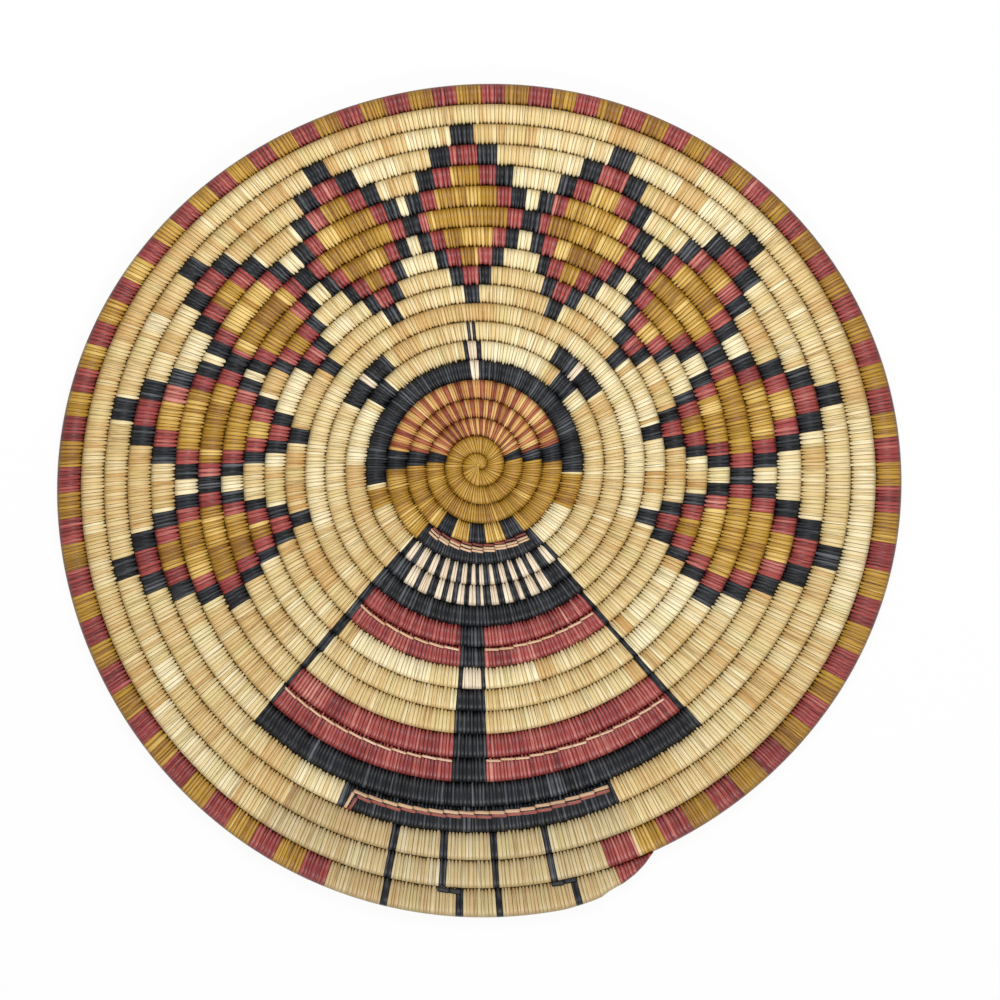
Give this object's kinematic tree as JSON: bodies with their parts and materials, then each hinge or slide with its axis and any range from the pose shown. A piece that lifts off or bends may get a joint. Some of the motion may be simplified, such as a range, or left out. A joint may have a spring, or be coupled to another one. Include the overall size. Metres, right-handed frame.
{
  "type": "coiled plaque",
  "caption": "Flat round coiled plaque: one spiral grass bundle wrapped in dyed leaf strips, with stepped diamonds round a standing figure and a checked rim; lies flat.",
  "frame": {"origin": "on the resting plane, under the middle of the plaque's outline", "axes": "+Z out of the patterned face, +Y to the top of the pattern, +X to the right seen from above"},
  "size_m": [0.411, 0.4056, 0.0102],
  "materials": {
    "grass_foundation": "dry grass stems, matt",
    "sewing_natural": "split leaf strips, satin, undyed",
    "sewing_ochre": "split leaf strips, satin, ochre dye",
    "sewing_red": "split leaf strips, satin, brick red dye",
    "sewing_black": "split leaf strips, satin, black dye",
    "overlay_cream": "thin laid strips, satin, pale"
  },
  "bodies": {
    "root": {"start_knot": "sewing_ochre", "foundation_coil": "grass_foundation", "sewing_start_round": "sewing_ochre", "sewing_head_round_inner": "sewing_ochre", "sewing_head_round_middle": "sewing_ochre", "sewing_head_round_outer": "sewing_ochre", "sewing_collar": "sewing_black", "sewing_cheek_right": "sewing_natural", "sewing_hair_arc": "sewing_black", "sewing_cheek_left": "sewing_natural", "sewing_stripes_upper": "sewing_black", "sewing_sweep_14": "sewing_natural", "sewing_stripes_lower": "sewing_black", "sewing_sweep_13": "sewing_natural", "sewing_belt": "sewing_black", "sewing_sweep_12": "sewing_natural", "sewing_bodice_band_upper": "sewing_red", "sewing_sweep_11": "sewing_natural", "sewing_bodice_band_lower": "sewing_red", "sewing_sweep_10": "sewing_natural", "sewing_sweep_9": "sewing_natural", "sewing_sweep_8": "sewing_natural", "sewing_sweep_7": "sewing_natural", "sewing_skirt_band_upper": "sewing_red", "sewing_sweep_6": "sewing_natural", "sewing_skirt_band_lower": "sewing_red", "sewing_sweep_5": "sewing_natural", "sewing_hem_upper": "sewing_black", "sewing_sweep_4": "sewing_natural", "sewing_hem_lower": "sewing_black", "sewing_round_3": "sewing_natural", "sewing_round_2": "sewing_natural", "sewing_rim": "sewing_red", "coil_end": "sewing_red", "overlay_collar_red": "sewing_red", "overlay_collar_cream": "overlay_cream", "overlay_bodice_left": "overlay_cream", "overlay_bodice_right": "overlay_cream", "overlay_skirt_left": "overlay_cream", "overlay_skirt_right": "overlay_cream", "overlay_hem_red": "sewing_red", "overlay_hem_cream": "overlay_cream", "overlay_leg_step_left": "sewing_black", "overlay_leg_step_right": "sewing_black", "overlay_hem_corner_red": "sewing_red", "overlay_hem_corner_cream": "overlay_cream"}
  },
  "joints": []
}
